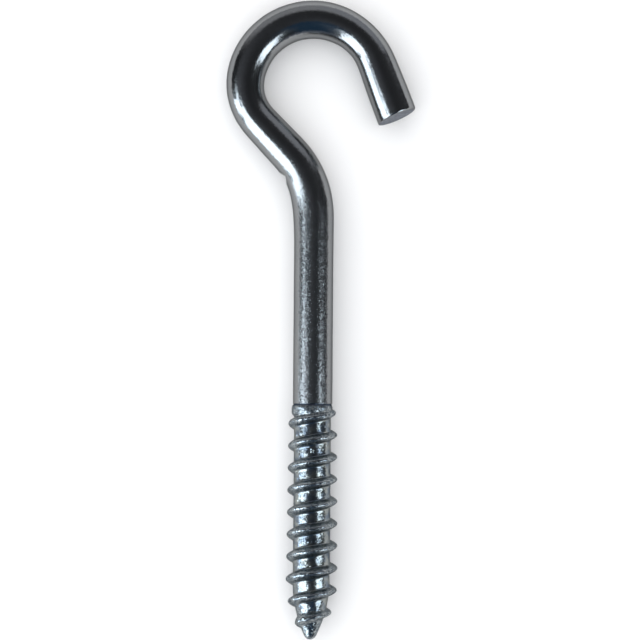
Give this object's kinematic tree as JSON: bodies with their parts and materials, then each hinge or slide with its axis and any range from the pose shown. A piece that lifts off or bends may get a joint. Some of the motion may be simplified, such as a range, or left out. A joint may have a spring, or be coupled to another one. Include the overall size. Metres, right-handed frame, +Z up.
{
  "type": "screw hook",
  "caption": "Screw hook bent from one length of zinc-plated steel wire: an open hook with a cranked neck, a plain shank and a coarse wood thread with a round-nosed point.",
  "frame": {"origin": "on the screw's axis, where the plain shank ends and the thread begins", "axes": "The hook lies flat in the XY plane. +Y runs along the shank from the point towards the hook, +X is the side of the hook's open mouth and cut tip, and +Z is up, square to the hook's plane"},
  "size_m": [0.0296, 0.1, 0.0082],
  "materials": {
    "zinc_steel": "gloss"
  },
  "bodies": {
    "root": {"screw_hook": "zinc_steel"}
  },
  "joints": []
}
